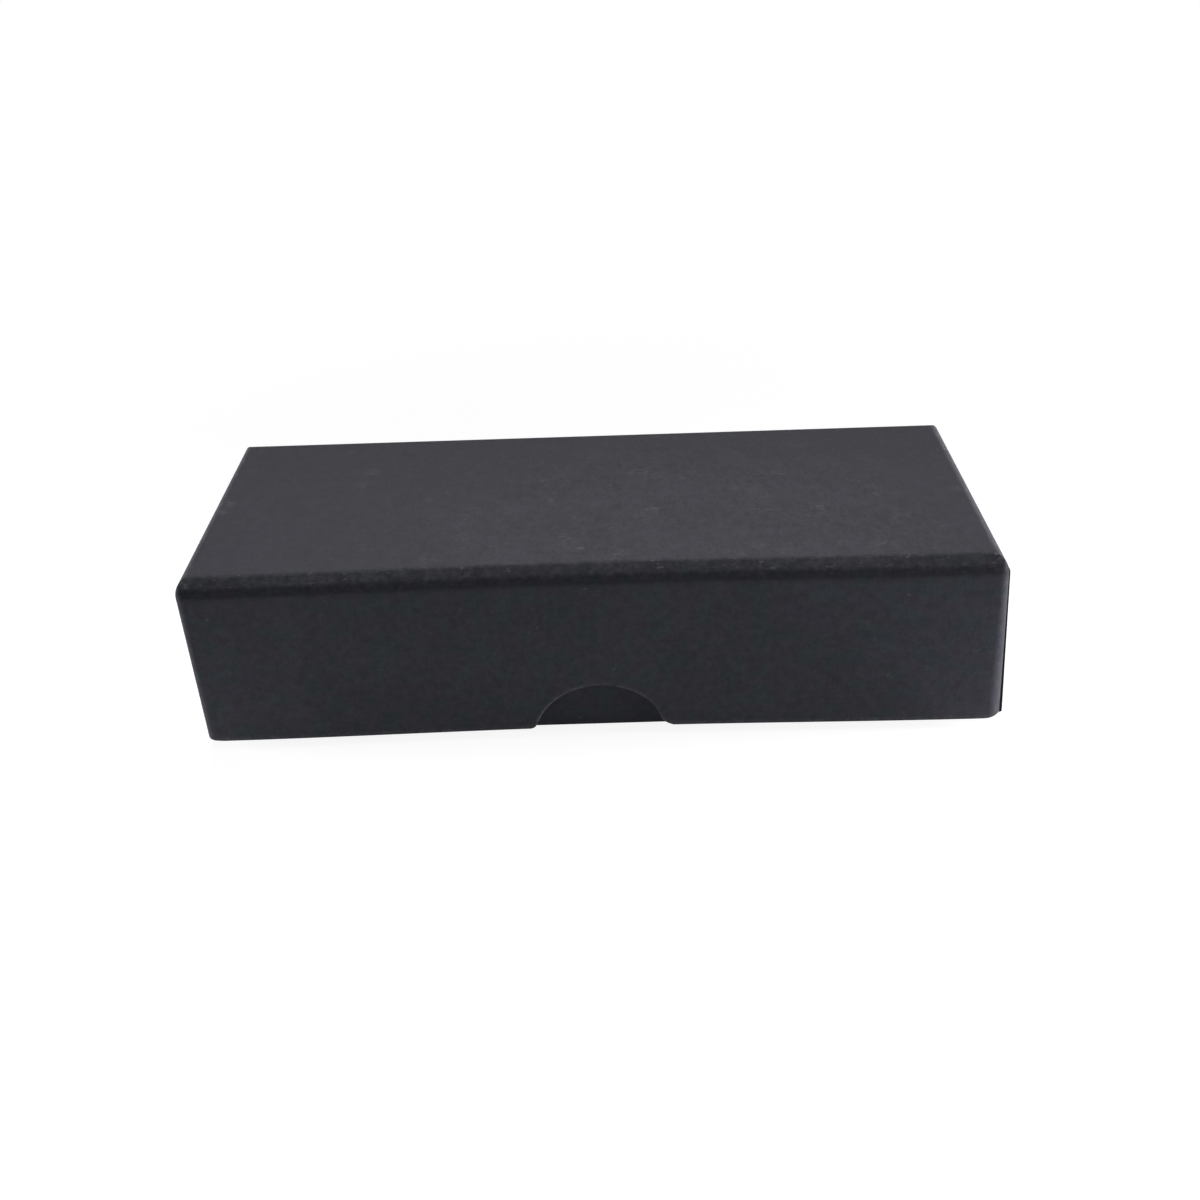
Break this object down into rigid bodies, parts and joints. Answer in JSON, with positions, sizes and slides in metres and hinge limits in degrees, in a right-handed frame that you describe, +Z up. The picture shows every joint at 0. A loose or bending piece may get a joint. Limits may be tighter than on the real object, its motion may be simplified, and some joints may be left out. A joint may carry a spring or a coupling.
{
  "type": "usb drive box",
  "caption": "Small rigid presentation box for a USB drive: paper-covered board tray with a cut foam insert and a full-depth lift-off lid with thumb notches.",
  "frame": {"origin": "centre of the underside, on the surface that the closed box stands on", "axes": "+X along the box, +Y from the front wall with the visible thumb notch to the back wall, +Z up, the way the lid comes off"},
  "size_m": [0.1025, 0.0444, 0.024],
  "materials": {
    "cover_paper": "matte",
    "greyboard": "matte",
    "stay_paper": "matte",
    "lining_paper": "matte",
    "foam": "matte"
  },
  "bodies": {
    "tray": {"base_wrap": "cover_paper", "base_board": "greyboard", "base_corner_stay_1": "stay_paper", "base_corner_stay_2": "stay_paper", "base_corner_stay_3": "stay_paper", "base_corner_stay_4": "stay_paper", "base_lining": "lining_paper", "foam_pad": "foam", "foam_insert": "foam"},
    "lid": {"lid_wrap": "cover_paper", "lid_board": "greyboard", "lid_corner_stay_1": "stay_paper", "lid_corner_stay_2": "stay_paper", "lid_corner_stay_3": "stay_paper", "lid_corner_stay_4": "stay_paper", "lid_lining": "lining_paper"}
  },
  "joints": [
    {"name": "lid_lift", "type": "slide", "parent": "tray", "child": "lid", "axis": [0, 0, 1], "range_m": [0, 0.04]}
  ]
}
